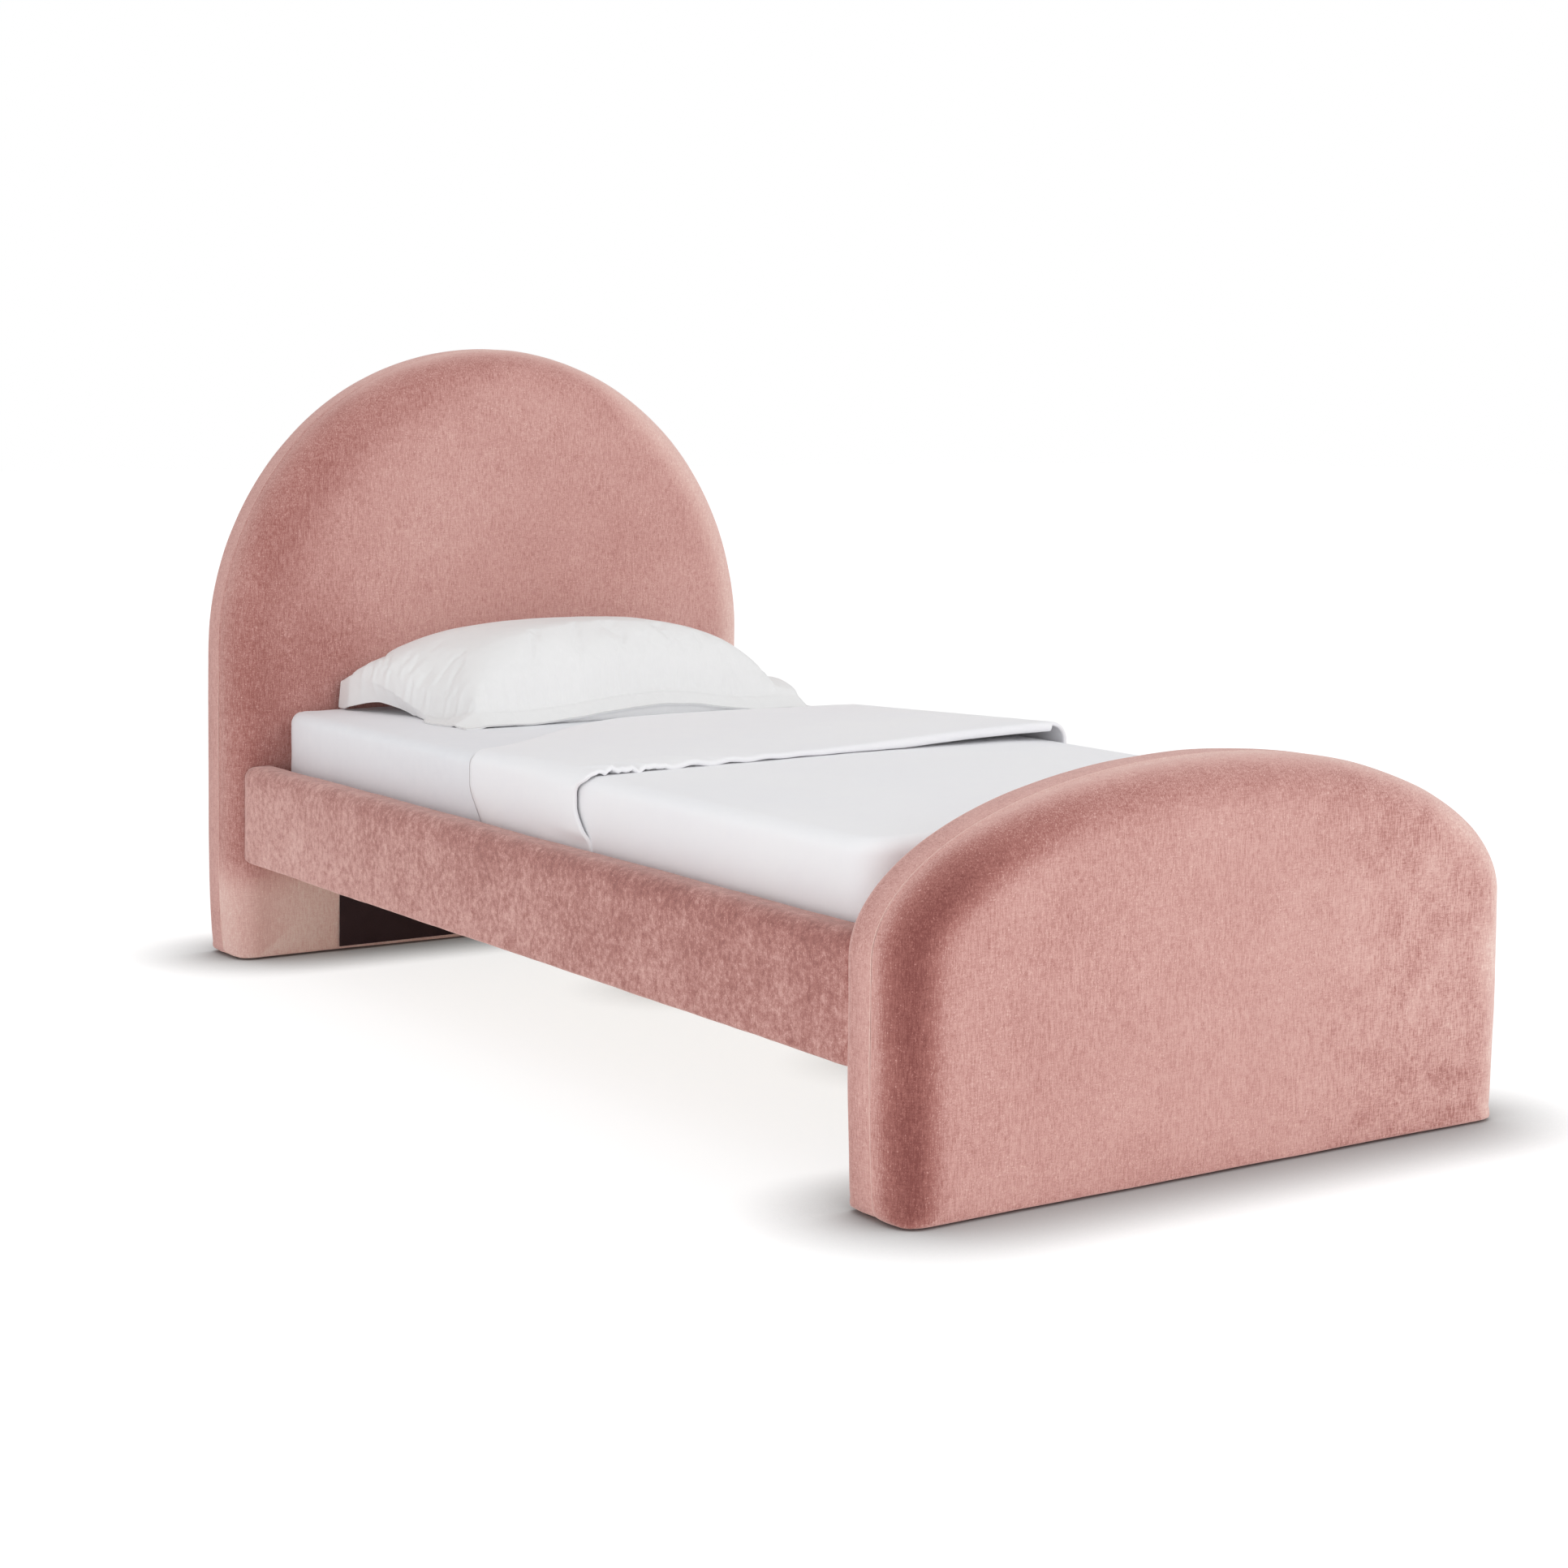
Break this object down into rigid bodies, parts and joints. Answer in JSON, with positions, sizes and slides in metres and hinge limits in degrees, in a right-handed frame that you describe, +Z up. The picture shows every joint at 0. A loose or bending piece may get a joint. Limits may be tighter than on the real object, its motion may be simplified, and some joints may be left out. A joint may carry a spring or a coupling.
{
  "type": "panel bed",
  "caption": "Upholstered bed with a tall arched headboard, a low arched footboard, padded side rails, a slat deck, a mattress, a pillow and a folded-back duvet.",
  "frame": {"origin": "on the floor, under the middle of the bed's overall box", "axes": "+X to the right seen from the foot, +Y towards the headboard, +Z up"},
  "size_m": [1.199, 2.2606, 1.199],
  "materials": {
    "velvet": "brushed blush-pink velvet",
    "foam": "open-cell foam",
    "plywood": "plain birch plywood",
    "pine": "planed pine",
    "lining": "black non-woven lining",
    "steel": "zinc-plated",
    "black_plastic": "moulded",
    "ticking": "knitted ticking",
    "filling": "cotton-cased filling",
    "bedding": "washed white cotton"
  },
  "bodies": {
    "frame": {"headboard_front_cover": "velvet", "headboard_back_cover": "velvet", "headboard_foam": "foam", "headboard_face_panel": "plywood", "headboard_back_panel": "plywood", "headboard_posts": "pine", "headboard_crossbars": "pine", "headboard_arch_rim": "pine", "headboard_lining": "lining", "headboard_glides": "black_plastic", "footboard_front_cover": "velvet", "footboard_back_cover": "velvet", "footboard_foam": "foam", "footboard_face_panel": "plywood", "footboard_back_panel": "plywood", "footboard_posts": "pine", "footboard_crossbars": "pine", "footboard_arch_rim": "pine", "footboard_lining": "lining", "footboard_glides": "black_plastic", "left_rail_cover": "velvet", "left_rail_foam": "foam", "left_rail_board": "pine", "left_ledger": "pine", "left_rail_brackets": "steel", "right_rail_cover": "velvet", "right_rail_foam": "foam", "right_rail_board": "pine", "right_ledger": "pine", "right_rail_brackets": "steel", "frame_bolts": "steel", "bolt_washers": "steel", "threaded_inserts": "steel", "bracket_screws": "steel", "ledger_screws": "steel", "slat_screws": "steel", "centre_beam": "pine", "beam_hangers": "steel", "centre_legs": "pine", "slat_01": "plywood", "slat_02": "plywood", "slat_03": "plywood", "slat_04": "plywood", "slat_05": "plywood", "slat_06": "plywood", "slat_07": "plywood", "slat_08": "plywood", "slat_09": "plywood", "slat_10": "plywood", "slat_11": "plywood", "slat_12": "plywood", "slat_13": "plywood"},
    "levelling_foot_1": {"levelling_foot_1": "black_plastic"},
    "levelling_foot_2": {"levelling_foot_2": "black_plastic"},
    "mattress": {"mattress": "ticking", "fitted_sheet": "bedding"},
    "duvet": {"duvet": "bedding"},
    "pillow": {"pillow": "filling", "pillow_sham": "bedding"}
  },
  "joints": [
    {"name": "foot_1_thread", "type": "slide", "parent": "frame", "child": "levelling_foot_1", "axis": [0, 0, 1], "range_m": [-0.01, 0.01]},
    {"name": "foot_2_thread", "type": "slide", "parent": "frame", "child": "levelling_foot_2", "axis": [0, 0, 1], "range_m": [-0.01, 0.01]},
    {"name": "mattress_lift", "type": "slide", "parent": "frame", "child": "mattress", "axis": [0, 0, 1], "range_m": [0, 0.4]},
    {"name": "duvet_lift", "type": "slide", "parent": "mattress", "child": "duvet", "axis": [0, 0, 1], "range_m": [0, 0.25]},
    {"name": "pillow_lift", "type": "slide", "parent": "mattress", "child": "pillow", "axis": [0, 0, 1], "range_m": [0, 0.3]}
  ]
}
